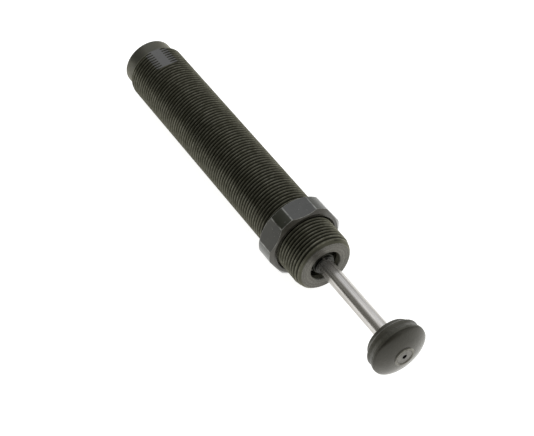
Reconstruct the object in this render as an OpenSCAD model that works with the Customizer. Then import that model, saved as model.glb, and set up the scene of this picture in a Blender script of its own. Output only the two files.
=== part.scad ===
// Self-contained hydraulic shock absorber for machine stops.
// Threaded one-piece body, hydraulic cartridge inside, return spring behind
// the front lip, chromed rod with a nylon impact cap, and a lock nut.
// Axis along X, rod pointing to +X, +Z up.  Origin on the axis, in the plane
// of the lock nut's rear (clamping) face.  Millimetres.

/* [Body] */
// Length of the body, rear end to front face
body_len = 137.3; // [135:0.1:150]
// Major diameter of the body thread
thread_d = 24.8; // [24.5:0.1:26]
// Pitch of the body thread
thread_p = 1.5; // [1:0.5:2]
// Distance from the lock nut's rear face to the body's front face
front_x = 23.5; // [14:0.5:60]
// Diameter of the plain collar at the rear end
collar_d = 21.8; // [20.5:0.1:22]
// Length of the plain collar at the rear end
collar_len = 6.3; // [4:0.1:8]
// Diameter of the rod opening in the front face
mouth_d = 13.2; // [12:0.1:14]
// Width across the two wrench flats at the rear
flats_af = 22.6; // [22:0.1:24]
// Length of the wrench flats, measured from the rear end; they end in the next thread groove
flats_len = 18.6; // [12:0.1:25]

/* [Lock nut] */
// Width across the six flats of the lock nut
nut_af = 29.5; // [28:0.5:36]
// Thickness of the lock nut
nut_t = 10; // [6:0.1:12]
// Diameter the nut's corners are turned down to
nut_corner_d = 31.4; // [31:0.1:38]

/* [Rod and cap] */
// Diameter of the piston rod
rod_d = 6.4; // [6:0.1:7]
// Working stroke
stroke = 40; // [25:1:40]
// Bare rod between the front face and the impact cap, rod extended
rod_out = 40.5; // [40.5:0.5:50]
// Largest diameter of the impact cap
cap_d = 22.8; // [20:0.1:24.5]
// Height of the impact cap
cap_h = 10.5; // [10:0.1:12]

/* [Spring] */
// Wire diameter of the return spring
wire_d = 1.1; // [0.9:0.1:1.2]
// Mean coil diameter of the return spring
coil_d = 11.8; // [11.4:0.1:12]
// Number of coils of the return spring
coils = 15; // [10:1:16]

/* [Hidden] */
$fn = 96;
thread_r = thread_d/2;
root_r = thread_r - 0.6134*thread_p;
crest_w = thread_p/8;
mouth_r = mouth_d/2;
rod_r = rod_d/2;
run = 0.03;               // radial clearance of a running fit
seat = 0.02;              // radial clearance of a seated piece
rear_x = -body_len;       // all x below are measured from the front face
collar_x = rear_x + collar_len;
chamber_r = 7.3;          // spring chamber behind the front lip
bore_r = 9;               // main bore, open to the rear
plug_front = rear_x + 6.9;
tube_front = plug_front + stroke + 13.8;
gland_x = tube_front + 11;
retainer_t = 3;
shoulder_x = gland_x + retainer_t;  // shoulder between the two bores
tube_ir = 5.5;
tube_or = 6.8;
piston_x = tube_front - 2;  // rod shoulder the piston seats against
cap_x = rod_out;
cap_r = cap_d/2;
guide_x = -1.3;           // front face of the spring guide
guide_t = 1.3;
spring_front = guide_x - guide_t;
spring_len = spring_front - shoulder_x;

// ---- helpers -------------------------------------------------------------

// place front-face coordinates in the part's frame
module at() translate([front_x, 0, 0]) children();

// solid of revolution about X; each point is [radius, x]
module rev(pts) rotate([0, 90, 0]) rotate_extrude() polygon(pts);

// plain round bar or ring between two x positions
module ring(x0, x1, ro, ri = 0)
    difference() {
        translate([x0, 0, 0]) rotate([0, 90, 0]) cylinder(h = x1 - x0, r = ro);
        if (ri > 0) translate([x0 - 1, 0, 0]) rotate([0, 90, 0])
            cylinder(h = x1 - x0 + 2, r = ri);
    }

// ring of round section centred at x
module o_ring(x, mean_r, section_r)
    translate([x, 0, 0]) rotate([0, 90, 0]) rotate_extrude()
        translate([mean_r, 0]) circle(r = section_r, $fn = 32);

// hexagonal bar along X with two flats square to Z
module hex_bar(x0, x1, af)
    translate([x0, 0, 0]) rotate([0, 90, 0]) rotate([0, 0, 30])
        cylinder(h = x1 - x0, r = af/2/cos(30), $fn = 6);

// ---- body ----------------------------------------------------------------

// Outline of the thread as separate ridges, one per turn, from x0 forward to x1.
// Under the nut they have the true 60 degree profile; elsewhere their crests are
// widened, so the thread's outside diameter stays a continuous land, which starts
// just clear of the nut's two faces.
land_w = 0.7*thread_p;
thread_x0 = collar_x + 0.2; // rear end of the thread
thread_x1 = -1.75;          // front end, behind the chamfered lip
flats_x = thread_x1 - thread_p*round((thread_x1 - rear_x - flats_len)/thread_p);
function ridge_count(x0, x1) = floor((x1 - x0)/thread_p);
function land(c) =      // both ends of the land of the ridge centred at c
    let (w = land_w/2, n0 = -front_x - 0.1, n1 = -front_x + nut_t + 0.1)
    c + w <= n0 || c - w >= n1 ? [c - w, c + w] :
    c - w < n0 - 0.15 ? [c - w, n0] :
    c + w > n1 + 0.15 ? [n1, c + w] : [c - crest_w/2, c + crest_w/2];
function ridge_r(x, x0) =   // the thread runs out at the rear and is chamfered in front
    min(thread_r, root_r + 0.1 + (x - x0)*0.6, thread_r - 1.9 - x*0.6);
function ridges(x0, x1) = [
    for (i = [0 : ridge_count(x0, x1) - 1])
        let (c = x1 - thread_p/2 - (ridge_count(x0, x1) - 1 - i)*thread_p,
             ends = land(c), r = ridge_r(c, x0), foot = thread_p/2 - 0.01,
             low0 = max(root_r, r - (ends[0] - c + foot)/tan(30)),
             low1 = max(root_r, r - (c + foot - ends[1])/tan(30)))
        for (k = [0 : 3])
            [k == 0 ? low0 : k == 3 ? low1 : r,
             k == 0 ? c - foot : k == 3 ? c + foot : ends[k - 1]]
];

module outer_body()
    color([0.16, 0.16, 0.14]) at()
    difference() {
        rev(concat(
            [[bore_r + 0.4, rear_x], [collar_d/2 - 0.6, rear_x],
             [collar_d/2, rear_x + 0.6], [collar_d/2, collar_x], [root_r, thread_x0]],
            ridges(thread_x0, thread_x1),
            [[root_r, thread_x1 + 0.05], [thread_r - 0.6, -1.3], [thread_r - 1.6, 0],
             [mouth_r + 0.25, 0], [mouth_r, -0.25], [mouth_r, -1],
             [chamber_r, -1.3], [chamber_r, shoulder_x],
             [bore_r, shoulder_x], [bore_r, rear_x + 0.4]]));
        for (s = [-1, 1])
            translate([rear_x - 10, -20, s > 0 ? flats_af/2 : -flats_af/2 - 10])
                cube([flats_x - rear_x + 10, 40, 10]);
    }

// ---- lock nut ------------------------------------------------------------

module lock_nut()
    color([0.20, 0.20, 0.19])
    difference() {
        intersection() {
            hex_bar(0, nut_t, nut_af);
            rev([[0, 0], [nut_af/2 - 0.5, 0], [nut_corner_d/2, 1.3],
                 [nut_corner_d/2, nut_t - 1.3], [nut_af/2 - 0.5, nut_t], [0, nut_t]]);
        }
        rev([[0, -1], [thread_r + 0.95, -1], [thread_r + 0.75, 0], [thread_r + 0.05, 0.7],
             [thread_r + 0.05, nut_t - 0.7], [thread_r + 0.75, nut_t],
             [thread_r + 0.95, nut_t + 1], [0, nut_t + 1]]);
    }

// ---- rod, cap and their rings ---------------------------------------------

module piston_rod()
    color([0.80, 0.80, 0.80]) at()
    difference() {
        rev([[0, piston_x - 10.4], [1.6, piston_x - 10.4], [2, piston_x - 10],
             [2, piston_x], [rod_r - 0.2, piston_x], [rod_r, piston_x + 0.2],
             [rod_r, guide_x], [rod_r - 0.45, guide_x], [rod_r - 0.45, guide_x + 0.9],
             [rod_r, guide_x + 0.9],
             [rod_r, cap_x + 6.5], [rod_r - 0.45, cap_x + 6.5],
             [rod_r - 0.45, cap_x + 7.3], [rod_r, cap_x + 7.3],
             [rod_r, cap_x + cap_h - 0.5], [rod_r - 0.25, cap_x + cap_h - 0.25],
             [0, cap_x + cap_h - 0.25]]);
        // centre-drill mark in the end face
        rev([[0, cap_x + cap_h - 1.9], [0.35, cap_x + cap_h - 1.3],
             [0.65, cap_x + cap_h - 0.6], [0.65, cap_x + cap_h + 1],
             [0, cap_x + cap_h + 1]]);
    }

// mushroom cap, pressed on the rod; its dome starts at a moulding seam on the rim
function dome(x0, x1, r0, r1, n) = [
    for (i = [0 : n]) let (a = 90*i/n)
        [r1 + (r0 - r1)*pow(cos(a), 1.6), x0 + (x1 - x0)*pow(sin(a), 1.5)]
];

module impact_cap()
    color([0.27, 0.27, 0.25]) at()
    difference() {
        rev(concat(
            [[rod_r + seat, cap_x], [cap_r - 2.45, cap_x], [cap_r - 2.2, cap_x + 0.3],
             [cap_r - 2.05, cap_x + 1.1], [cap_r - 1.8, cap_x + 1.6],
             [cap_r - 0.75, cap_x + 2.35], [cap_r - 0.38, cap_x + 2.8],
             [cap_r - 0.42, cap_x + 3.3], [cap_r - 0.58, cap_x + 3.9],
             [cap_r - 0.56, cap_x + 4.4], [cap_r - 0.23, cap_x + 5.3],
             [cap_r, cap_x + 6], [cap_r, cap_x + 6.8], [cap_r - 0.22, cap_x + 6.95]],
            dome(cap_x + 7.2, cap_x + cap_h - 0.6, cap_r - 0.1, 4.6, 14),
            [[4.2, cap_x + cap_h - 0.55], [4.0, cap_x + cap_h], [3.6, cap_x + cap_h],
             [rod_r + seat, cap_x + cap_h - 0.45]]));
        // groove for the snap ring
        ring(cap_x + 6.45, cap_x + 7.35, 4.15);
    }

// open retaining ring in a rod groove
module snap_ring(x0, t, ro)
    difference() {
        ring(x0, x0 + t, ro, rod_r - 0.4);
        translate([x0 - 1, -0.9, 0]) cube([t + 2, 1.8, ro + 1]);
    }

module cap_snap_ring() color([0.6, 0.6, 0.6]) at() snap_ring(cap_x + 6.55, 0.7, rod_r + 0.85);

module guide_snap_ring() color([0.6, 0.6, 0.6]) at() snap_ring(guide_x + 0.06, 0.75, rod_r + 0.8);

// ---- return spring ---------------------------------------------------------

// the space the spring takes, as plain rings on a thin sleeve; its front coils
// draw in to sit on the guide
end_coil_r = rod_r + 1.25;
function coil_x(i) = shoulder_x + 0.05 + wire_d/2
                     + i*(spring_len - 0.1 - wire_d)/(coils - 1);
function coil_r(i) = i == coils - 1 ? end_coil_r :
                     i == coils - 2 ? (end_coil_r + coil_d/2)/2 : coil_d/2;

module return_spring()
    color([0.55, 0.55, 0.52]) at()
    union() {
        rev(concat([for (i = [0 : coils - 1]) [coil_r(i) - 0.2, coil_x(i)]],
                   [for (i = [coils - 1 : -1 : 0]) [coil_r(i) + 0.2, coil_x(i)]]));
        for (i = [0 : coils - 1]) o_ring(coil_x(i), coil_r(i), wire_d/2);
    }

module spring_guide()
    color([0.30, 0.30, 0.28]) at()
    rev([[rod_r + run, spring_front - 1.6], [rod_r + 0.4, spring_front - 1.6],
         [rod_r + 0.6, spring_front - 1.3], [rod_r + 0.6, spring_front],
         [rod_r + 1.5, spring_front], [rod_r + 1.6, spring_front + 0.15],
         [rod_r + 1.6, guide_x - 0.4], [rod_r + 1.2, guide_x], [rod_r + run, guide_x]]);

// ---- front seal pack --------------------------------------------------------

module seal_retainer()
    color([0.62, 0.62, 0.60]) at()
    rev([[rod_r + 0.35, gland_x], [bore_r - seat, gland_x], [bore_r - seat, shoulder_x],
         [5, shoulder_x], [5, shoulder_x - 2.2], [rod_r + 0.35, shoulder_x - 2.2]]);

module rod_wiper()
    color([0.12, 0.12, 0.12]) at()
    rev([[rod_r + 0.45, shoulder_x - 2.18], [4.98, shoulder_x - 2.18],
         [4.98, shoulder_x - 0.4], [4.4, shoulder_x - 0.4], [rod_r + 0.5, shoulder_x - 0.1],
         [rod_r + run, shoulder_x - 0.35], [rod_r + run, shoulder_x - 0.7],
         [rod_r + 0.45, shoulder_x - 1.2]]);

module bearing_block()
    color([0.55, 0.56, 0.56]) at()
    rev([[5.6, gland_x - 0.02], [bore_r - seat, gland_x - 0.02],
         [bore_r - seat, gland_x - 3.9], [7.45, gland_x - 3.9], [7.45, gland_x - 5.5],
         [bore_r - seat, gland_x - 5.5], [bore_r - seat, tube_front],
         [tube_ir - seat, tube_front], [tube_ir - seat, tube_front - 1.2],
         [4.5, tube_front - 1.2], [4.5, gland_x - 5], [5.6, gland_x - 5]]);

module rod_seal()
    color([0.10, 0.12, 0.15]) at()
    rev([[rod_r + run, gland_x - 0.3], [rod_r + 0.55, gland_x - 0.1],
         [5.3, gland_x - 0.1], [5.58, gland_x - 0.3], [5.58, gland_x - 3.6],
         [5.3, gland_x - 3.9], [4.75, gland_x - 1.9], [4.15, gland_x - 1.9],
         [rod_r + 0.4, gland_x - 3.9], [rod_r + run, gland_x - 3.6]]);

module backup_ring() color([0.85, 0.85, 0.82]) at()
    ring(gland_x - 4.95, gland_x - 3.95, 5.56, rod_r + 0.06);

module rod_bushing()
    color([0.72, 0.53, 0.28]) at()
    ring(tube_front - 1.15, gland_x - 5.3, 4.48, rod_r + run);

module bearing_o_ring() color([0.08, 0.08, 0.08]) at() o_ring(gland_x - 4.7, 8.22, 0.74);

// ---- hydraulic cartridge -----------------------------------------------------

// metering holes, closer together towards the end of the stroke
orifice_x = [for (k = [0 : 5]) piston_x - 12 - 0.85*stroke*(1 - pow(0.62, k))];
orifice_r = 0.55;

module pressure_tube()
    color([0.66, 0.67, 0.68]) at()
    difference() {
        ring(plug_front, tube_front, tube_or, tube_ir);
        for (k = [0 : 5])
            translate([orifice_x[k], 0, 0]) rotate([60*k + 15, 0, 0])
                cylinder(h = 12, r = orifice_r);
        // refill holes ahead of the piston
        for (k = [0 : 3])
            translate([tube_front - 3.2, 0, 0]) rotate([90*k + 45, 0, 0])
                cylinder(h = 12, r = 0.7);
    }

module check_plate() color([0.75, 0.75, 0.73]) at()
    ring(piston_x - 0.5, piston_x - 0.02, 4.6, 2.05);

module piston()
    color([0.62, 0.60, 0.55]) at()
    difference() {
        rev([[2 + seat, piston_x - 7.6], [tube_ir - 0.35, piston_x - 7.6],
             [tube_ir - 0.04, piston_x - 7.2], [tube_ir - 0.04, piston_x - 5.1],
             [4.6, piston_x - 5.1], [4.6, piston_x - 3], [tube_ir - 0.04, piston_x - 3],
             [tube_ir - 0.04, piston_x - 1], [tube_ir - 0.3, piston_x - 0.6],
             [2 + seat, piston_x - 0.6]]);
        // refill passages under the check plate
        for (k = [0 : 3])
            rotate([90*k, 0, 0]) translate([piston_x - 9, 0, 3.4]) rotate([0, 90, 0])
                cylinder(h = 12, r = 0.5);
    }

module piston_ring() color([0.35, 0.35, 0.35]) at()
    difference() {
        ring(piston_x - 5.05, piston_x - 3.05, tube_ir - seat, 4.65);
        translate([piston_x - 6, -0.15, 0]) cube([4, 0.3, 7]);
    }

module piston_nut() color([0.5, 0.5, 0.48]) at()
    difference() {
        intersection() {
            hex_bar(piston_x - 10, piston_x - 7.62, 7);
            rev([[0, piston_x - 10], [3.5, piston_x - 10], [4.1, piston_x - 9.65],
                 [4.1, piston_x - 7.62], [0, piston_x - 7.62]]);
        }
        ring(piston_x - 11, piston_x - 7, 2 + seat);
    }

module accumulator_foam() color([0.20, 0.20, 0.22]) at()
    ring(piston_x - 0.85*stroke, piston_x, bore_r - 0.1, 7.7);

// ---- rear plug and filling port ------------------------------------------------

module end_plug()
    color([0.30, 0.30, 0.29]) at()
    difference() {
        rev([[0, rear_x + 0.3], [bore_r - 0.35, rear_x + 0.3], [bore_r - seat, rear_x + 0.7],
             [bore_r - seat, rear_x + 3.9], [7.45, rear_x + 3.9], [7.45, rear_x + 5.5],
             [bore_r - seat, rear_x + 5.5], [bore_r - seat, plug_front - 0.02],
             [tube_ir - seat, plug_front - 0.02], [tube_ir - seat, plug_front + 1],
             [tube_ir - 0.3, plug_front + 1.2], [0, plug_front + 1.2]]);
        // threaded filling port with a seat for the ball
        ring(rear_x - 1, rear_x + 5.2, 2.5 + seat);
        ring(rear_x, plug_front + 3, 1);
        // two holes for a pin wrench
        for (s = [-1, 1]) translate([0, s*5.9, 0]) ring(rear_x - 1, rear_x + 2.6, 1.2);
    }

module plug_o_ring() color([0.08, 0.08, 0.08]) at() o_ring(rear_x + 4.7, 8.22, 0.74);

module fill_ball() color([0.8, 0.8, 0.8]) at()
    translate([rear_x + 5.2 - sqrt(1.5*1.5 - 1) - 0.02, 0, 0]) sphere(r = 1.5);

module fill_screw()
    color([0.22, 0.22, 0.22]) at()
    difference() {
        rev([[0, rear_x + 0.5], [2.1, rear_x + 0.5], [2.5, rear_x + 0.9],
             [2.5, rear_x + 2.3], [2.2, rear_x + 2.5], [0, rear_x + 2.5]]);
        hex_bar(rear_x - 1, rear_x + 1.9, 2.5);
    }

// ---- assembly -------------------------------------------------------------------

outer_body();
lock_nut();
piston_rod();
impact_cap();
cap_snap_ring();
return_spring();
spring_guide();
guide_snap_ring();
rod_wiper();
seal_retainer();
rod_seal();
backup_ring();
bearing_block();
rod_bushing();
bearing_o_ring();
pressure_tube();
check_plate();
piston();
piston_ring();
piston_nut();
accumulator_foam();
end_plug();
plug_o_ring();
fill_ball();
fill_screw();
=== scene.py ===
import math

import bmesh
import bpy
import numpy as np
from mathutils import Matrix, Vector


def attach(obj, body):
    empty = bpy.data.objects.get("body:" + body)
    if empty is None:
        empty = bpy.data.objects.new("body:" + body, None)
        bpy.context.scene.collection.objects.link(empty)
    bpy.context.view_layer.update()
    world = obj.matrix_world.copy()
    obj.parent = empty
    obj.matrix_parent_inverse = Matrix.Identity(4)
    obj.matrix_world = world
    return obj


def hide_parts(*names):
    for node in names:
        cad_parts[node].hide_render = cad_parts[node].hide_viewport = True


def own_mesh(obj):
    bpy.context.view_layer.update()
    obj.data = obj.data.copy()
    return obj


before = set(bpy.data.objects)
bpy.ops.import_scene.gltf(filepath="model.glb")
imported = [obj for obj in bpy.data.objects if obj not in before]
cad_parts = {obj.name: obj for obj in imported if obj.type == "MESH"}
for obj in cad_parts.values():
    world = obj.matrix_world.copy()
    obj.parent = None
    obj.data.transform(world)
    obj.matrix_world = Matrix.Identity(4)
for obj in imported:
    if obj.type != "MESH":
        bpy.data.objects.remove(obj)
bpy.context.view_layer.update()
scene = bpy.context.scene
scene.view_settings.view_transform = "Standard"
scene.view_settings.look = "None"

MM = 0.001
FRONT = 23.5            # row-frame x of the body's front face, mm; below, x is measured from it
PITCH = 1.5
CREST_R = 12.33
ROOT_R = 11.48
PHASE = -0.26           # where round the axis the thread starts, in turns


# ---------------------------------------------------------------- mesh helpers
def finish_mesh(name, verts, faces, sharp=32.0, merge=2e-6):
    """Builds a smooth-shaded mesh with hard edges kept where the surface turns sharply."""
    me = bpy.data.meshes.new(name)
    me.from_pydata([tuple(v) for v in verts], [], faces)
    bm = bmesh.new()
    bm.from_mesh(me)
    if merge:
        bmesh.ops.remove_doubles(bm, verts=bm.verts, dist=merge)
        bmesh.ops.dissolve_degenerate(bm, edges=bm.edges, dist=1e-7)
    bmesh.ops.recalc_face_normals(bm, faces=bm.faces)
    limit = math.radians(sharp)
    for f in bm.faces:
        f.smooth = True
    for e in bm.edges:
        if len(e.link_faces) == 2 and e.calc_face_angle(0.0) > limit:
            e.smooth = False
    bm.to_mesh(me)
    bm.free()
    ob = bpy.data.objects.new(name, me)
    scene.collection.objects.link(ob)
    return ob


def rounded(points, radius, steps=3, closed=False):
    """Rounds the corners of an outline. radius is one number or one per point; 0 keeps a corner."""
    pts = [np.array(p, float) for p in points]
    n = len(pts)
    rad = [radius] * n if not hasattr(radius, "__len__") else list(radius)
    out = []
    for i in range(n):
        if not closed and i in (0, n - 1):
            out.append(tuple(pts[i]))
            continue
        a, b, c = pts[i - 1], pts[i], pts[(i + 1) % n]
        u, v = a - b, c - b
        lu, lv = np.linalg.norm(u), np.linalg.norm(v)
        if rad[i] <= 0 or lu < 1e-9 or lv < 1e-9:
            out.append(tuple(b))
            continue
        u, v = u / lu, v / lv
        cosang = float(np.clip(u @ v, -1, 1))
        half = math.acos(cosang) / 2
        if half > math.radians(88):
            out.append(tuple(b))
            continue
        cut = min(rad[i] / math.tan(half), 0.45 * lu, 0.45 * lv)
        p0, p1 = b + u * cut, b + v * cut
        for k in range(steps + 1):
            t = k / steps
            out.append(tuple((1 - t) ** 2 * p0 + 2 * t * (1 - t) * b + t * t * p1))
    return out


def ring_points(x, r, n, turn=0.0):
    a = 2 * math.pi * (np.arange(n) / n) + turn
    return np.stack([np.full(n, (FRONT + x) * MM), r * MM * np.cos(a), r * MM * np.sin(a)], 1)


def bridge(faces, a, b, n, close=True):
    for j in range(n if close else n - 1):
        k = (j + 1) % n
        faces.append((a + j, a + k, b + k, b + j))


def lathe(name, profile, n=128, closed=True, sharp=32.0):
    """Turned piece. profile is a list of (x, r) in mm from the front face; r = 0 closes on the axis."""
    verts, faces, rows = [], [], []
    for x, r in profile:
        if r <= 1e-9:
            rows.append((len(verts), 1))
            verts.append(((FRONT + x) * MM, 0.0, 0.0))
        else:
            rows.append((len(verts), n))
            verts.extend(map(tuple, ring_points(x, r, n)))
    pairs = list(zip(rows, rows[1:])) + ([(rows[-1], rows[0])] if closed else [])
    for (a, na), (b, nb) in pairs:
        if na == 1 and nb == 1:
            continue
        if na == 1:
            faces.extend((a, b + (j + 1) % n, b + j) for j in range(n))
        elif nb == 1:
            faces.extend((b, a + j, a + (j + 1) % n) for j in range(n))
        else:
            bridge(faces, a, b, n)
    return finish_mesh(name, verts, faces, sharp)


def attribute(ob, name, values):
    at = ob.data.attributes.new(name, "FLOAT", "POINT")
    at.data.foreach_set("value", np.asarray(values, np.float32))


def coords(ob):
    """x from the front face in mm, radius in mm, and angle round the axis, for every vertex."""
    co = np.zeros(len(ob.data.vertices) * 3)
    ob.data.vertices.foreach_get("co", co)
    co = co.reshape(-1, 3) / MM
    return co[:, 0] - FRONT, np.hypot(co[:, 1], co[:, 2]), np.arctan2(co[:, 2], co[:, 1])


# ---------------------------------------------------------------- materials
def new_material(name):
    m = bpy.data.materials.new(name)
    m.use_nodes = True
    nt = m.node_tree
    return m, nt, nt.nodes["Principled BSDF"]


class Graph:
    """Small helper that adds and links shader nodes."""

    def __init__(self, nt):
        self.nt = nt

    def node(self, kind, **props):
        nd = self.nt.nodes.new(kind)
        for k, v in props.items():
            setattr(nd, k, v)
        return nd

    def link(self, a, b):
        self.nt.links.new(a, b)

    def object_coords(self, scale=(1, 1, 1), rotate=(0, 0, 0)):
        tc = self.node("ShaderNodeTexCoord")
        mp = self.node("ShaderNodeMapping")
        mp.inputs["Scale"].default_value = scale
        mp.inputs["Rotation"].default_value = rotate
        self.link(tc.outputs["Object"], mp.inputs["Vector"])
        return mp.outputs["Vector"]

    def noise(self, vec, scale, detail=4.0, rough=0.55, distortion=0.0):
        nd = self.node("ShaderNodeTexNoise")
        nd.inputs["Scale"].default_value = scale
        nd.inputs["Detail"].default_value = detail
        nd.inputs["Roughness"].default_value = rough
        nd.inputs["Distortion"].default_value = distortion
        self.link(vec, nd.inputs["Vector"])
        return nd.outputs["Fac"]

    def ramp(self, fac, stops):
        nd = self.node("ShaderNodeValToRGB")
        el = nd.color_ramp.elements
        while len(el) < len(stops):
            el.new(0.5)
        for e, (p, c) in zip(el, stops):
            e.position = p
            e.color = (*c, 1) if len(c) == 3 else c
        self.link(fac, nd.inputs["Fac"])
        return nd.outputs["Color"]

    def remap(self, fac, a, b, lo, hi):
        nd = self.node("ShaderNodeMapRange")
        nd.inputs["From Min"].default_value = a
        nd.inputs["From Max"].default_value = b
        nd.inputs["To Min"].default_value = lo
        nd.inputs["To Max"].default_value = hi
        self.link(fac, nd.inputs["Value"])
        return nd.outputs["Result"]

    def math(self, op, a, b=None):
        nd = self.node("ShaderNodeMath", operation=op)
        for i, v in enumerate((a, b)):
            if v is None:
                continue
            if isinstance(v, (int, float)):
                nd.inputs[i].default_value = v
            else:
                self.link(v, nd.inputs[i])
        return nd.outputs[0]

    def mix(self, fac, a, b, mode="MIX"):
        nd = self.node("ShaderNodeMix", data_type="RGBA", blend_type=mode)
        if isinstance(fac, (int, float)):
            nd.inputs["Factor"].default_value = fac
        else:
            self.link(fac, nd.inputs["Factor"])
        for key, v in ((6, a), (7, b)):
            if isinstance(v, tuple):
                nd.inputs[key].default_value = (*v, 1)
            else:
                self.link(v, nd.inputs[key])
        return nd.outputs[2]

    def attr(self, name):
        nd = self.node("ShaderNodeAttribute", attribute_name=name)
        return nd.outputs["Fac"]

    def bump(self, height, strength, distance, base=None):
        nd = self.node("ShaderNodeBump")
        nd.inputs["Strength"].default_value = strength
        nd.inputs["Distance"].default_value = distance
        self.link(height, nd.inputs["Height"])
        if base is not None:
            self.link(base, nd.inputs["Normal"])
        return nd.outputs["Normal"]

    def radial(self):
        """Distance from the axis, in metres."""
        tc = self.node("ShaderNodeTexCoord")
        sp = self.node("ShaderNodeSeparateXYZ")
        self.link(tc.outputs["Object"], sp.inputs["Vector"])
        y2 = self.math("MULTIPLY", sp.outputs["Y"], sp.outputs["Y"])
        z2 = self.math("MULTIPLY", sp.outputs["Z"], sp.outputs["Z"])
        return self.math("SQRT", self.math("ADD", y2, z2)), sp.outputs["X"]

    def turned(self, scale, wobble=0.02):
        """Fine concentric tool marks: a noise that varies with radius and x only, slightly broken up."""
        r, x = self.radial()
        cb = self.node("ShaderNodeCombineXYZ")
        self.link(r, cb.inputs["X"])
        self.link(x, cb.inputs["Y"])
        small = self.noise(self.object_coords(), 60, 2.0)
        self.link(self.math("MULTIPLY", small, wobble * 0.01), cb.inputs["Z"])
        return self.noise(cb.outputs["Vector"], scale, 3.0, 0.7)


def steel(name, dark, light, rough=(0.30, 0.46), metallic=0.7, specular=0.5, marks=3000, mark_strength=0.25,
          blotch=90.0, crest_wear_and_highlight=None, crest_wear_and_highlight_amount=0.0, groove=None, bare_and_painted_light=None, milled=None, grain=0.12,
          tint=None, lay=0.0):
    m, nt, bsdf = new_material(name)
    g = Graph(nt)
    vec = g.object_coords()
    large = g.noise(vec, blotch, 5.0, 0.6, 0.4)
    fine = g.noise(vec, 2600, 3.0, 0.65)
    col = g.ramp(g.math("ADD", g.math("MULTIPLY", large, 0.75), g.math("MULTIPLY", fine, 0.25)),
                 [(0.30, dark), (0.72, light)])
    # lighter crests: partly rubbed wear, partly a painted highlight on the thread's ridges
    if crest_wear_and_highlight is not None:
        edge = g.math("MULTIPLY", g.attr("crest_wear_and_highlight"), g.remap(g.noise(vec, 420, 4.0, 0.7), 0.38, 0.68, 0.15, 1.0))
        col = g.mix(g.math("MULTIPLY", edge, crest_wear_and_highlight_amount), col, crest_wear_and_highlight)
    # painted shade: darker deep in the thread's grooves
    if groove is not None:
        painted_groove_shade = g.remap(g.attr("groove"), 0.15, 0.75, 0.0, 1.0)
        col = g.mix(painted_groove_shade, col, groove)
    # bare turned steel on the front face; the same colour is painted light on the shaded ridges inside the mouth
    if bare_and_painted_light is not None:
        tone = g.mix(g.remap(g.turned(1300, 0.02), 0.32, 0.66, 0.0, 1.0), tuple(0.66 * c for c in bare_and_painted_light), bare_and_painted_light)
        pits = g.remap(g.noise(vec, 1700, 3.0, 0.65), 0.36, 0.60, 0.55, 1.0)
        tone = g.mix(1.0, tone, pits, "MULTIPLY")
        col = g.mix(g.attr("bare_and_painted_light"), col, tone)
    if milled is not None:
        col = g.mix(g.attr("milled"), col, g.mix(g.remap(fine, 0.3, 0.7, 0.0, 1.0), tuple(0.8 * c for c in milled), milled))
    g.link(col, bsdf.inputs["Base Color"])
    if tint is not None:
        bsdf.inputs["Specular Tint"].default_value = (*tint, 1)
    r = g.remap(g.noise(vec, blotch * 2.3, 5.0, 0.65), 0.3, 0.7, rough[0], rough[1])
    g.link(r, bsdf.inputs["Roughness"])
    lines = g.turned(marks)
    n = g.bump(lines, mark_strength, 0.00002)
    n = g.bump(fine, grain, 0.00002, n)
    g.link(n, bsdf.inputs["Normal"])
    bsdf.inputs["Metallic"].default_value = metallic
    bsdf.inputs["Specular IOR Level"].default_value = specular
    if lay:
        # the tool marks run round the axis, so reflections spread across them
        tg = g.node("ShaderNodeTangent", direction_type="RADIAL", axis="X")
        g.link(tg.outputs["Tangent"], bsdf.inputs["Tangent"])
        bsdf.inputs["Anisotropic"].default_value = lay
        bsdf.inputs["Anisotropic Rotation"].default_value = 0.25
    return m


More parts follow.
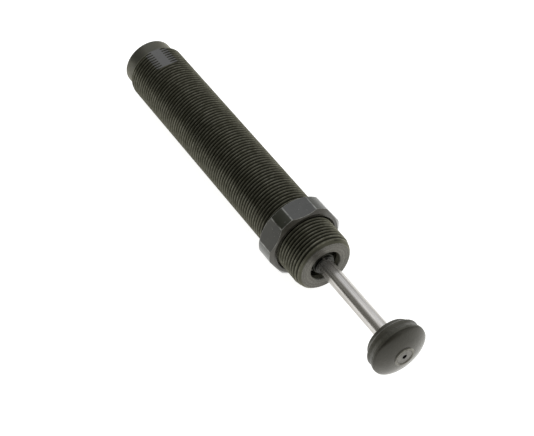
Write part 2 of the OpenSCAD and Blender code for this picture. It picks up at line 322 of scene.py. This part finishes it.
def nut_steel(name):
    """Black-oxide steel: cool flats, browner turned chamfers, bright lines where the edges have rubbed, one flat
    darkened as painted shade and small painted glints.
    """
    m, nt, bsdf = new_material(name)
    g = Graph(nt)
    vec = g.object_coords()
    large = g.noise(vec, 150.0, 5.0, 0.6, 0.4)
    fine = g.noise(vec, 2400, 3.0, 0.65)
    spread = g.math("ADD", g.math("MULTIPLY", large, 0.7), g.math("MULTIPLY", fine, 0.3))
    flats = g.ramp(spread, [(0.30, (0.036, 0.036, 0.032)), (0.72, (0.060, 0.060, 0.054))])
    turned = g.ramp(spread, [(0.30, (0.040, 0.037, 0.029)), (0.72, (0.072, 0.067, 0.054))])
    # darker flats: random tones per flat, and painted shade on the flat that faces the dim side
    flat_tone_and_shade = g.ramp(spread, [(0.30, (0.014, 0.0135, 0.0085)), (0.72, (0.030, 0.029, 0.0195))])
    flats = g.mix(g.attr("flat_tone_and_shade"), flats, flat_tone_and_shade)
    col = g.mix(g.attr("turned"), flats, turned)
    col = g.mix(g.attr("corner"), col, g.ramp(spread, [(0.30, (0.026, 0.028, 0.020)), (0.72, (0.046, 0.049, 0.036))]))
    broken = g.remap(g.noise(vec, 380, 4.0, 0.7), 0.34, 0.60, 0.10, 1.0)
    edge = g.remap(g.math("ABSOLUTE", g.attr("rim")), 0.03, 0.14, 1.0, 0.0)
    col = g.mix(g.math("MULTIPLY", g.math("MULTIPLY", edge, broken), 0.85), col, (0.34, 0.34, 0.32))
    # painted glints: small bright specks
    painted_glints = g.remap(g.noise(vec, 900, 2.0, 0.6), 0.68, 0.74, 0.0, 0.5)
    col = g.mix(painted_glints, col, (0.16, 0.16, 0.15))
    g.link(col, bsdf.inputs["Base Color"])
    g.link(g.remap(g.noise(vec, 330, 5.0, 0.65), 0.3, 0.7, 0.30, 0.46), bsdf.inputs["Roughness"])
    n = g.bump(g.turned(1700), 0.18, 0.00002)
    g.link(g.bump(fine, 0.16, 0.00002, n), bsdf.inputs["Normal"])
    bsdf.inputs["Metallic"].default_value = 0.6
    bsdf.inputs["Coat Weight"].default_value = 1.0
    bsdf.inputs["Coat Roughness"].default_value = 0.22
    bsdf.inputs["Coat IOR"].default_value = 1.32
    return m


# on the body the crest colour is partly rubbed wear and partly painted highlight, the groove colour is painted shade,
# and the bare colour is also painted light inside the mouth
M_BODY = steel("body_black", (0.037, 0.0365, 0.024), (0.065, 0.064, 0.042), (0.30, 0.44), 0.66,
               crest_wear_and_highlight=(0.200, 0.196, 0.160), crest_wear_and_highlight_amount=0.70, groove=(0.011, 0.011, 0.006), blotch=70.0,
               bare_and_painted_light=(0.168, 0.163, 0.150), milled=(0.132, 0.132, 0.135), tint=(1.0, 0.97, 0.82), lay=0.9)
M_NUT = nut_steel("nut_black")
# snap ring kept near black: painted shade where the mouth is in shade
M_RING = steel("ring_dark", (0.025, 0.025, 0.022), (0.055, 0.055, 0.050), (0.30, 0.45), 0.9, marks=1500)
M_PLUG = steel("plug_black", (0.035, 0.035, 0.032), (0.060, 0.060, 0.056), (0.30, 0.44), 0.7,
               marks=2200, mark_strength=0.4, blotch=200.0)
# guide kept near black: painted shade where it shows deep in the mouth
M_GUIDE = steel("guide_turned", (0.018, 0.018, 0.014), (0.042, 0.041, 0.032), (0.30, 0.45), 0.8, marks=2600,
                mark_strength=0.4)
M_MACHINED = steel("steel_turned", (0.34, 0.34, 0.33), (0.46, 0.46, 0.45), (0.22, 0.36), 1.0, marks=2600,
                   mark_strength=0.35)
M_SPRING = steel("spring_wire", (0.26, 0.25, 0.22), (0.42, 0.41, 0.36), (0.22, 0.38), 1.0, marks=900,
                 mark_strength=0.1)
M_IRON = steel("ring_iron", (0.10, 0.10, 0.10), (0.18, 0.18, 0.18), (0.35, 0.5), 0.9)
M_BRONZE = steel("bush_bronze", (0.42, 0.25, 0.10), (0.60, 0.38, 0.17), (0.22, 0.36), 1.0, marks=2600,
                 mark_strength=0.3)


def chrome(name):
    m, nt, bsdf = new_material(name)
    g = Graph(nt)
    vec = g.object_coords()
    col = g.ramp(g.noise(vec, 120, 4.0, 0.6), [(0.3, (0.55, 0.53, 0.505)), (0.7, (0.65, 0.63, 0.605))])
    # wiping marks along the rod, and a few thin dark ones
    along = g.noise(g.object_coords((0.03, 1, 1)), 900, 2.0, 0.5)
    col = g.mix(g.remap(along, 0.42, 0.58, 0.0, 0.70), col, (0.40, 0.38, 0.35))
    thin = g.noise(g.object_coords((0.02, 1, 1)), 1500, 1.0, 0.4)
    col = g.mix(g.remap(thin, 0.58, 0.66, 0.0, 0.65), col, (0.22, 0.21, 0.19))
    # the cut end is plain turned steel
    cut = g.math("MINIMUM", g.attr("cut"), 1.0)
    col = g.mix(cut, col, g.ramp(g.noise(vec, 1100, 3.0, 0.6), [(0.3, (0.100, 0.096, 0.086)), (0.7, (0.180, 0.173, 0.156))]))
    # the centre hole is painted black: painted shade in the recess
    col = g.mix(g.remap(g.attr("cut"), 1.2, 1.6, 0.0, 1.0), col, (0.004, 0.004, 0.004))
    g.link(col, bsdf.inputs["Base Color"])
    # long soft streaks left by the grinding belt, round the rod
    streak = g.turned(4200, 0.008)
    g.link(g.remap(streak, 0.3, 0.7, 0.21, 0.26), bsdf.inputs["Roughness"])
    g.link(g.bump(streak, 0.015, 0.00001), bsdf.inputs["Normal"])
    bsdf.inputs["Metallic"].default_value = 0.80
    bsdf.inputs["Specular IOR Level"].default_value = 0.3
    return m


M_CHROME = chrome("rod_chrome")


def plastic(name, dark, light, rough=(0.42, 0.56), grain_scale=2600, grain=0.25, specular=0.5, coat=0.0, mottle=0.0,
            seam=None, lip_highlight=None, tint=None):
    m, nt, bsdf = new_material(name)
    g = Graph(nt)
    vec = g.object_coords()
    flow = g.noise(vec, 75, 5.0, 0.6, 0.8)
    fleck = g.noise(vec, 1500, 3.0, 0.7)
    col = g.ramp(g.math("ADD", g.math("MULTIPLY", flow, 0.6), g.math("MULTIPLY", fleck, 0.4)),
                 [(0.32, dark), (0.68, light)])
    # lighter lip: a painted highlight, broken up by noise
    if lip_highlight is not None:
        lip_highlight_breakup = g.remap(g.noise(vec, 520, 4.0, 0.65), 0.35, 0.65, 0.35, 1.0)
        col = g.mix(g.math("MULTIPLY", g.attr("lip_highlight"), lip_highlight_breakup), col, lip_highlight)
    # crease colour: painted shade in the seam, the creases and round the rod's end
    if seam is not None:
        col = g.mix(g.attr("seam"), col, seam)
    g.link(col, bsdf.inputs["Base Color"])
    g.link(g.remap(g.noise(vec, 260, 4.0, 0.6), 0.3, 0.7, rough[0], rough[1]), bsdf.inputs["Roughness"])
    n = g.bump(g.noise(vec, grain_scale, 3.0, 0.6), grain, 0.00003)
    if mottle:
        n = g.bump(g.noise(vec, 700, 4.0, 0.62, 0.8), mottle, 0.00022, n)
    g.link(n, bsdf.inputs["Normal"])
    if coat:
        bsdf.inputs["Coat Weight"].default_value = coat
        bsdf.inputs["Coat Roughness"].default_value = 0.22
        bsdf.inputs["Coat IOR"].default_value = 1.28
        bsdf.inputs["Coat Tint"].default_value = (1.0, 0.98, 0.92, 1)
    if tint is not None:
        bsdf.inputs["Specular Tint"].default_value = (*tint, 1)
    bsdf.inputs["Specular IOR Level"].default_value = specular
    return m


# the lighter lip colour is a painted highlight; the dark crease colour is painted shade
M_NYLON = plastic("cap_nylon", (0.004, 0.0038, 0.0020), (0.013, 0.0125, 0.0080), (0.34, 0.46), specular=0.36, coat=1.0,
                  mottle=0.45, seam=(0.004, 0.004, 0.003), tint=(1.0, 0.97, 0.86), lip_highlight=(0.150, 0.147, 0.128))
M_NYLON_RIM = plastic("cap_rim", (0.003, 0.003, 0.0018), (0.056, 0.054, 0.0400), (0.38, 0.56), specular=0.62,
                      mottle=1.0, seam=(0.003, 0.003, 0.002), tint=(1.0, 0.97, 0.84))
M_RUBBER = plastic("seal_rubber", (0.012, 0.012, 0.012), (0.022, 0.022, 0.022), (0.5, 0.7), 3000, 0.3)
M_PTFE = plastic("ptfe_white", (0.62, 0.62, 0.58), (0.72, 0.72, 0.68), (0.35, 0.5), 2000, 0.1)
M_FOAM = plastic("cell_foam", (0.020, 0.020, 0.024), (0.060, 0.060, 0.066), (0.7, 0.9), 1400, 0.9, 0.3)


def put(ob, material):
    ob.data.materials.clear()
    ob.data.materials.append(material)
    return ob


# ---------------------------------------------------------------- thread
# one turn of the outside thread: (share of the pitch from the crest's middle, height from 0 to 1)
TURN = [(-0.405, 0.0), (-0.125, 0.90), (-0.065, 1.0), (0.065, 1.0), (0.125, 0.90), (0.405, 0.0)]


def thread_r(x, ang):
    """Radius of the thread at x (mm from the front face) and angle round the axis, both arrays."""
    u = (x / PITCH - ang / (2 * math.pi) - PHASE) % 1.0
    u = np.where(u > 0.5, u - 1.0, u)
    us = np.array([t[0] for t in TURN])
    hs = np.array([t[1] for t in TURN])
    h = np.interp(u, us, hs, left=0.0, right=0.0)
    return ROOT_R + (CREST_R - ROOT_R) * h, h


def threaded_rows(x0, x1, n, limit):
    """Rows of points that follow the helix between x0 and x1; limit(x) caps the radius. Returns a list of (x, r) arrays."""
    ang = 2 * math.pi * np.arange(n) / (n - 1)
    first = math.floor(x0 / PITCH) - 2
    last = math.ceil(x1 / PITCH) + 2
    rows = []
    for turn in range(first, last + 1):
        for off, _ in TURN:
            x = (turn + off + PHASE + ang / (2 * math.pi)) * PITCH
            if x.max() <= x0 or x.min() >= x1:
                continue
            xc = np.clip(x, x0, x1)
            r = np.minimum(thread_r(xc, ang)[0], limit(xc))
            rows.append((xc, r))
    edge0, edge1 = np.full(n, x0), np.full(n, x1)
    rows.insert(0, (edge0, np.minimum(thread_r(edge0, ang)[0], limit(edge0))))
    rows.append((edge1, np.minimum(thread_r(edge1, ang)[0], limit(edge1))))
    return rows


# ---------------------------------------------------------------- outer body
BODY_LEN = 137.3
COLLAR_R = 10.9
THREAD_X0 = -130.6      # rear end of the thread
FLAT_H = 11.3
FLAT_END = -118.6
MOUTH_R = 6.6
SHOULDER = -62.6        # step between the two bores
N_BODY = 160


def body_limit(x):
    rear = 11.55 + (x - THREAD_X0) * 0.75
    front = np.minimum(10.6 - x * 1.05, 11.28 - x * 0.30)
    return np.minimum(np.minimum(rear, front), CREST_R)


def make_body():
    n = N_BODY + 1      # a row's last point meets the first one of the row a turn further on
    ang = 2 * math.pi * np.arange(n) / (n - 1)
    plain = lambda pts: [(np.full(n, float(x)), np.full(n, float(r))) for x, r in pts]
    end = -BODY_LEN
    rear = rounded([(end + 0.5, 9.0), (end, 9.4), (end, COLLAR_R - 0.5), (end + 0.5, COLLAR_R),
                    (THREAD_X0 - 0.15, COLLAR_R), (THREAD_X0, 11.45)], [0, 0.1, 0.12, 0.2, 0.12, 0], 2)
    rows = plain(rear)
    rows += threaded_rows(THREAD_X0, -0.02, n, body_limit)
    # inside: rounded mouth, then a finely ridged front end of the spring chamber
    ridged = [(-1.25 - 0.35 * k, 7.3 if k % 2 == 0 else 7.02) for k in range(6)]
    rows += plain(rounded([(0.0, 10.6), (0.0, MOUTH_R + 0.3), (-0.24, MOUTH_R), (-0.40, MOUTH_R), (-0.52, 7.0),
                           (-0.64, MOUTH_R), (-0.82, MOUTH_R), (-0.94, 7.0), (-1.04, MOUTH_R + 0.1)] + ridged +
                          [(-3.35, 7.3), (SHOULDER, 7.3), (SHOULDER, 9.0), (end + 0.5, 9.0)],
                          [0.0] + [0.05] * 8 + [0.06] * 6 + [0.06, 0, 0, 0], 2))[:-1]
    cap = FLAT_H / np.maximum(np.abs(np.sin(ang)), 1e-6)
    verts, faces = [], []
    for x, r in rows:
        cut = np.where((x < FLAT_END) & (r > 9.3), np.minimum(r, cap), r)
        verts.append(np.stack([(FRONT + x) * MM, cut * MM * np.cos(ang), cut * MM * np.sin(ang)], 1))
    verts = np.concatenate(verts)
    for i in range(len(rows)):
        bridge(faces, i * n, ((i + 1) % len(rows)) * n, n, False)
    ob = finish_mesh("body_shell", verts, faces, 26.0)
    x, r, a = coords(ob)
    on_flat = (x < FLAT_END) & (r > 9.6) & (np.abs(r * np.abs(np.sin(a)) - FLAT_H) < 0.02)
    height = np.clip((r - ROOT_R) / np.maximum(body_limit(x) - ROOT_R, 0.12), 0, 1)
    # lighter crests: partly rubbed wear, partly painted highlight
    crest_wear_and_highlight = np.clip((height - 0.6) / 0.4, 0, 1) ** 1.5
    attribute(ob, "crest_wear_and_highlight", crest_wear_and_highlight)
    # machined places: the front face and the wrench flats; the bore just inside the mouth and its ridges get the bare
    # colour as painted light, where the mouth is in shade
    lip = (x > -0.9) & (r > body_limit(x) - 0.03) & (r > 10.2)
    attribute(ob, "bare_and_painted_light", np.where((x > -0.12) & (r > 6.7), 1.0, np.where(lip, 0.12, np.where(
        (x > -3.2) & (r > 6.5) & (r < 7.1), np.where(r < 6.72, 1.0, 0.3), 0.0))))
    attribute(ob, "milled", np.where(on_flat, 0.9, np.where(x < THREAD_X0 - 0.05, 0.30, 0.0)))
    # how deep in the thread's groove a point lies, for painted shade in the grooves; the faces, the collar and the
    # bore are open
    open_ = (x < THREAD_X0 - 0.05) | lip | (x > -1.0) | (r < 11.0) | on_flat
    attribute(ob, "groove", np.where(open_, 0.0, 1.0 - height))
    return ob


body = put(make_body(), M_BODY)
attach(body, "body"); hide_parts("outer_body")


# ---------------------------------------------------------------- lock nut
NUT_X0, NUT_T, NUT_AF, NUT_CORNER = -23.5, 10.0, 29.498, 15.69


def soft_min(a, b, k):
    h = np.clip(0.5 + 0.5 * (b - a) / k, 0, 1)
    return b * (1 - h) + a * h - k * h * (1 - h)


def make_nut():
    # angles: dense at the corners, with the flats square to Z
    edge = math.acos(NUT_AF / 2 / NUT_CORNER)
    ang = []
    for k in range(6):
        mid = math.radians(90 + 60 * k)
        ang += list(mid + np.linspace(-edge * 0.97, edge * 0.97, 15))
        ang += list(mid + np.linspace(edge * 1.0, math.radians(60) - edge * 1.0, 13))
    ang = np.array(sorted(a % (2 * math.pi) for a in ang))
    ang = np.append(ang, ang[0] + 2 * math.pi)   # as on the body, a row's end meets the row a turn on
    n = len(ang)
    local = (ang - math.radians(90) + math.radians(30)) % math.radians(60) - math.radians(30)
    flat = NUT_AF / 2 / np.cos(local)
    outer = soft_min(flat, np.full(n, NUT_CORNER), 0.05)

    def side(x):
        d = min(x - NUT_X0, NUT_X0 + NUT_T - x)
        return soft_min(outer, np.full(n, 14.25 + d * 1.115), 0.06)

    d = np.array([0, 0.04, 0.1, 0.2, 0.3, 0.38, 0.44, 0.5, 0.58, 0.66, 0.75, 0.85, 0.95, 1.05, 1.15, 1.25, 1.35, 1.5, 1.9])
    xs = list(NUT_X0 + d) + [NUT_X0 + NUT_T / 2] + list(NUT_X0 + NUT_T - d[::-1])
    rows = [(np.full(n, x), side(x)) for x in xs]
    # front face inward, threaded bore, rear face outward
    x1 = NUT_X0 + NUT_T
    inner_r = lambda x, a: np.maximum(thread_r(x, a)[0] + 0.07,
                                      13.15 - np.minimum(x - NUT_X0, x1 - x) * 1.1)
    rows += [(np.full(n, x1), np.full(n, 14.0)), (np.full(n, x1), np.full(n, 13.4))]
    first, last = math.floor(NUT_X0 / PITCH) - 2, math.ceil(x1 / PITCH) + 2
    bore = [(np.full(n, x1), inner_r(np.full(n, x1), ang))]
    for turn in range(last, first - 1, -1):
        for off, _ in reversed(TURN):
            x = (turn + off + PHASE + ang / (2 * math.pi)) * PITCH
            if x.max() <= NUT_X0 or x.min() >= x1:
                continue
            xc = np.clip(x, NUT_X0, x1)
            bore.append((xc, inner_r(xc, ang)))
    bore.append((np.full(n, NUT_X0), inner_r(np.full(n, NUT_X0), ang)))
    rows += bore
    rows += [(np.full(n, NUT_X0), np.full(n, 13.4)), (np.full(n, NUT_X0), np.full(n, 14.0))]
    verts = np.concatenate([np.stack([(FRONT + x) * MM, r * MM * np.cos(ang), r * MM * np.sin(ang)], 1)
                            for x, r in rows])
    faces = []
    for i in range(len(rows)):
        bridge(faces, i * n, ((i + 1) % len(rows)) * n, n, False)
    ob = finish_mesh("nut_body", verts, faces, 24.0)
    x, r, a = coords(ob)
    m = np.minimum(x - NUT_X0, x1 - x)
    loc = (a - math.radians(90) + math.radians(30)) % math.radians(60) - math.radians(30)
    # the three surfaces that bound the outside at each point: hexagon flat, turned corner, chamfer
    f = np.minimum(NUT_AF / 2 / np.cos(loc), 18.0)
    c = 14.25 + m * 1.115
    outside = r > 14.1
    low = np.sort(np.stack([f, np.full(len(x), NUT_CORNER), c]), axis=0)
    attribute(ob, "rim", np.where(outside, low[1] - low[0], 1.0))
    attribute(ob, "turned", np.where(outside & (c > np.minimum(f, NUT_CORNER)), 0.0, 1.0))
    # one tone per flat; 0.95 on the flat at 150 degrees is painted shade for the dim side of the tent, the others
    # differ at random
    flat_tones_and_shade = np.array([0.1, 0.0, 0.95, 0.35, 0.2, 0.6])
    attribute(ob, "flat_tone_and_shade", flat_tones_and_shade[np.round((a - math.radians(30)) / math.radians(60)).astype(int) % 6])
    attribute(ob, "corner", np.where(outside & (f > NUT_CORNER) & (c > NUT_CORNER), 1.0, 0.0))
    return ob


nut = put(make_nut(), M_NUT)
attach(nut, "nut"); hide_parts("lock_nut")


# ---------------------------------------------------------------- rod
ROD_R = 3.2
CAP_X, CAP_H = 40.5, 10.5
PISTON_X = -78.6
tip = CAP_X + CAP_H
neck = ROD_R - 0.45
rod_profile = rounded([(PISTON_X - 10.4, 0), (PISTON_X - 10.4, 1.6), (PISTON_X - 10.0, 2.0), (PISTON_X, 2.0),
                       (PISTON_X, ROD_R - 0.2), (PISTON_X + 0.2, ROD_R),
                       (-1.3, ROD_R), (-1.3, neck), (-0.4, neck), (-0.4, ROD_R), (CAP_X + 6.5, ROD_R),
                       (CAP_X + 6.5, neck), (CAP_X + 7.3, neck), (CAP_X + 7.3, ROD_R), (tip - 0.33, ROD_R),
                       (tip - 0.25, ROD_R - 0.08), (tip - 0.25, 1.0), (tip - 0.25, 0.86), (tip - 0.40, 0.78), (tip - 1.4, 0.6),
                       (tip - 1.9, 0)],
                      [0, 0.1, 0.1, 0.05, 0.1, 0.1, 0.04, 0.05, 0.05, 0.04, 0.04, 0.05, 0.05, 0.04, 0.03, 0.03, 0,
                       0.05, 0.05, 0.1, 0], 2)
rod = put(lathe("rod_turned", rod_profile, 96, closed=False), M_CHROME)
_x, _r, _a = coords(rod)
# inside the centre hole the value is raised by 2, which paints the hole black as painted shade
attribute(rod, "cut", np.where((_x > tip - 2.0) & (_r < 0.9), 2.0, 0.0) + np.where((_x > tip - 0.3) | (_x < PISTON_X + 0.1), 1.0, np.where(_x > tip - 2.0, 0.6, 0.0)))
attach(rod, "rod"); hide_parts("piston_rod")


# ---------------------------------------------------------------- impact cap
def make_cap():
    x = lambda v: CAP_X + v
    dome = []
    for i in range(0, 27):
        a = math.radians(90 * i / 26)
        dome.append((x(7.2 + (CAP_H - 0.6 - 7.2) * math.sin(a) ** 1.5), 4.6 + (11.28 - 4.6) * max(math.cos(a), 0.0) ** 1.6))
    hole = ROD_R + 0.02
    back = [(x(0.0), hole), (x(0.0), 8.95), (x(0.3), 9.2), (x(1.1), 9.35), (x(1.6), 9.6), (x(2.35), 10.65),
            (x(2.8), 11.02), (x(3.3), 10.98), (x(3.9), 10.82), (x(4.4), 10.84), (x(5.3), 11.17), (x(6.0), 11.38),
            (x(6.8), 11.38), (x(6.96), 11.14)]
    outline = rounded(back + [(x(7.1), 11.24)],
                      [0, 0.12, 0.2, 0.3, 0.3, 0.3, 0.3, 0.3, 0.3, 0.3, 0.3, 0.2, 0.08, 0.04, 0.0], 3)
    front = rounded([dome[-1], (x(CAP_H - 0.55), 4.2), (x(CAP_H), 4.0), (x(CAP_H), 3.6), (x(CAP_H - 0.28), hole)],
                    [0, 0.12, 0.10, 0.10, 0], 3)
    groove = [(x(7.3), hole), (x(7.3), 4.1), (x(6.5), 4.1), (x(6.5), hole)]
    ob = lathe("cap_moulded", outline + dome[:-1] + front + groove, 160, closed=True, sharp=35.0)
    px, pr, _ = coords(ob)
    # behind the seam the rim is as moulded
    ob.data.materials.append(M_NYLON)
    ob.data.materials.append(M_NYLON_RIM)
    for f in ob.data.polygons:
        c = f.center / MM
        f.material_index = 1 if c.x - FRONT < x(6.96) and math.hypot(c.y, c.z) > 4.3 else 0
    # the lip round the rod's end is painted lighter: a painted highlight
    attribute(ob, "lip_highlight", np.where((px > x(CAP_H - 0.45)) & (pr < 4.15), 1.0, 0.0))
    # painted shade in the moulding seam, in the groove of the rim and round the rod's end
    attribute(ob, "seam", np.where(pr > 10.0, 0.9 * np.exp(-((px - x(6.97)) / 0.12) ** 2)
                                   + 0.35 * np.exp(-((px - x(3.9)) / 0.5) ** 2)
                                   + 0.6 * np.exp(-((px - x(2.0)) / 0.5) ** 2),
                                   0.18 * np.exp(-((pr - 4.35) / 0.12) ** 2) * (px > x(9.0))))
    return ob


cap = make_cap()
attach(cap, "rod"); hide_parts("impact_cap")


# ---------------------------------------------------------------- return spring
WIRE = 1.1
SPRING_REAR, SPRING_FRONT = SHOULDER + 0.05, -2.68


def make_spring():
    """One wire: closed end turns, open turns between, and a drawn-in front turn that sits on the guide."""
    steps = 40
    # (turns, pitch) from the front to the rear
    total = SPRING_FRONT - SPRING_REAR - WIRE
    used = 1.0 * 1.18 + 2.6 * 1.25 + 1.2 * 1.15
    middle = 11.0
    pitch = (total - used) / middle
    plan = [(1.0, 1.18), (2.6, 1.25), (middle, pitch), (1.2, 1.15)]
    pts = []
    x, turn = SPRING_FRONT - WIRE / 2, 0.0
    for turns, p in plan:
        count = int(round(turns * steps))
        for i in range(count):
            r = 5.9 if turn > 1.6 else 4.5 + (5.9 - 4.5) * (0.5 - 0.5 * math.cos(math.pi * turn / 1.6))
            a = -2 * math.pi * turn + 2.2
            pts.append((x, r * math.cos(a), r * math.sin(a)))
            turn += 1.0 / steps
            x -= p / steps
    pts = np.array(pts)
    tangent = np.gradient(pts, axis=0)
    tangent /= np.linalg.norm(tangent, axis=1)[:, None]
    n = 12
    verts, faces = [], []
    for i, (p, t) in enumerate(zip(pts, tangent)):
        out = np.array([0, p[1], p[2]])
        out -= t * (out @ t)
        out /= np.linalg.norm(out)
        up = np.cross(t, out)
        for j in range(n):
            b = 2 * math.pi * j / n
            q = p + (out * math.cos(b) + up * math.sin(b)) * WIRE / 2
            verts.append(((FRONT + q[0]) * MM, q[1] * MM, q[2] * MM))
        if i:
            bridge(faces, (i - 1) * n, i * n, n)
    faces.append(tuple(range(n)))
    faces.append(tuple((len(pts) - 1) * n + j for j in reversed(range(n))))
    return finish_mesh("spring_coil", verts, faces, 40.0, merge=0)


spring = put(make_spring(), M_SPRING)
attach(spring, "body"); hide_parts("return_spring")
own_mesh(spring)


# ---------------------------------------------------------------- CAD nodes that keep their shape
KEEP = {
    "cap_snap_ring": M_SPRING, "guide_snap_ring": M_RING, "spring_guide": M_GUIDE,
    "rod_wiper": M_RUBBER, "seal_retainer": M_MACHINED, "rod_seal": M_RUBBER, "backup_ring": M_PTFE,
    "bearing_block": M_MACHINED, "rod_bushing": M_BRONZE, "bearing_o_ring": M_RUBBER, "pressure_tube": M_MACHINED,
    "check_plate": M_SPRING, "piston": M_MACHINED, "piston_ring": M_IRON, "piston_nut": M_MACHINED,
    "accumulator_foam": M_FOAM, "end_plug": M_PLUG, "plug_o_ring": M_RUBBER, "fill_ball": M_MACHINED,
    "fill_screw": M_PLUG,
}
for node, material in KEEP.items():
    put(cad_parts[node], material)


# ---------------------------------------------------------------- floor, light, camera
# the floor touches the nut's lower edge and the thread at the rear
slope = math.atan2(2.35, 105.4)
bpy.ops.mesh.primitive_grid_add(x_subdivisions=2, y_subdivisions=2, size=6.0)
floor = bpy.context.object
floor.name = "floor"
floor.rotation_euler = (0, slope, 0)
floor.location = (0.0, 0.0, -0.0148 + 0.0004 * math.tan(slope))
fm, fnt, fb = new_material("floor_white")
fb.inputs["Base Color"].default_value = (0.55, 0.55, 0.55, 1)
fb.inputs["Roughness"].default_value = 0.9
fb.inputs["Specular IOR Level"].default_value = 0.1
fb.inputs["Emission Color"].default_value = (1.0, 1.0, 0.99, 1)
fb.inputs["Emission Strength"].default_value = 0.90
put(floor, fm)

# a pale wall all round, for the views from lower down; it neither lights the object nor shows in it
bpy.ops.mesh.primitive_uv_sphere_add(segments=48, ring_count=24, radius=9.0)
wall = bpy.context.object
wall.name = "backdrop"
wm, wmt, wb = new_material("backdrop_white")
wb.inputs["Base Color"].default_value = (0.0, 0.0, 0.0, 1)
wb.inputs["Specular IOR Level"].default_value = 0.0
wb.inputs["Emission Color"].default_value = (0.94, 0.94, 0.935, 1)
wb.inputs["Emission Strength"].default_value = 1.0
put(wall, wm)
for flag in ("visible_diffuse", "visible_glossy", "visible_transmission", "visible_volume_scatter", "visible_shadow"):
    setattr(wall, flag, False)

world = bpy.data.worlds.new("studio")
scene.world = world
world.use_nodes = True
wnt = world.node_tree
bg = wnt.nodes["Background"]
wg = Graph(wnt)
wtc = wg.node("ShaderNodeTexCoord")
nrm = wg.node("ShaderNodeVectorMath", operation="NORMALIZE")
wg.link(wtc.outputs["Generated"], nrm.inputs[0])


def toward(direction):
    """How closely the sky's direction agrees with this one, from -1 to 1."""
    dot = wg.node("ShaderNodeVectorMath", operation="DOT_PRODUCT")
    dot.inputs[1].default_value = tuple(Vector(direction).normalized())
    wg.link(nrm.outputs["Vector"], dot.inputs[0])
    return dot.outputs["Value"]


# a white tent with one dim side behind and to the left of the camera
dim = wg.remap(toward((-0.57, -0.62, 0.50)), 0.72, 0.90, 0.0, 1.0)
shade = wg.mix(dim, (0.80, 0.80, 0.79), (0.30, 0.292, 0.275))
side = wg.remap(toward((-0.56, -0.83, 0.12)), 0.67, 0.86, 0.0, 1.0)
shade = wg.mix(side, shade, (0.125, 0.125, 0.105))
ahead = wg.remap(toward((0.93, -0.30, 0.16)), 0.72, 0.92, 0.0, 1.0)
shade = wg.mix(ahead, shade, (0.13, 0.13, 0.11))
top = wg.remap(toward((-0.59, 0.35, 0.73)), 0.84, 0.95, 0.0, 1.0)
shade = wg.mix(top, shade, (0.90, 0.92, 0.97))
wg.link(shade, bg.inputs["Color"])
bg.inputs["Strength"].default_value = 1.0


def area(name, loc, target, size, power, color=(1, 1, 1)):
    light = bpy.data.lights.new(name, "AREA")
    light.shape = "RECTANGLE"
    light.size, light.size_y = size
    light.energy = power
    light.color = color
    ob = bpy.data.objects.new(name, light)
    scene.collection.objects.link(ob)
    ob.location = loc
    ob.rotation_euler = (Vector(target) - Vector(loc)).to_track_quat("-Z", "Y").to_euler()
    return ob


area("overhead", (-0.05, 0.25, 0.95), (-0.02, 0, 0), (1.1, 0.8), 1.2)

cam_data = bpy.data.cameras.new("camera")
cam_data.lens = 103.247
cam_data.sensor_width = 36.0
cam_data.sensor_fit = "HORIZONTAL"
cam_data.clip_start, cam_data.clip_end = 0.01, 20
cam = bpy.data.objects.new("camera", cam_data)
scene.collection.objects.link(cam)
right = Vector((0.526474, 0.850086, -0.013354))
up = Vector((-0.614104, 0.391094, 0.685508))
back_v = Vector((0.587964, -0.352701, 0.727942))
rot = Matrix((right, up, back_v)).transposed().to_4x4()
cam.matrix_world = Matrix.Translation(Vector((0.313222 + FRONT * MM, -0.213053, 0.428232))) @ rot
scene.camera = cam
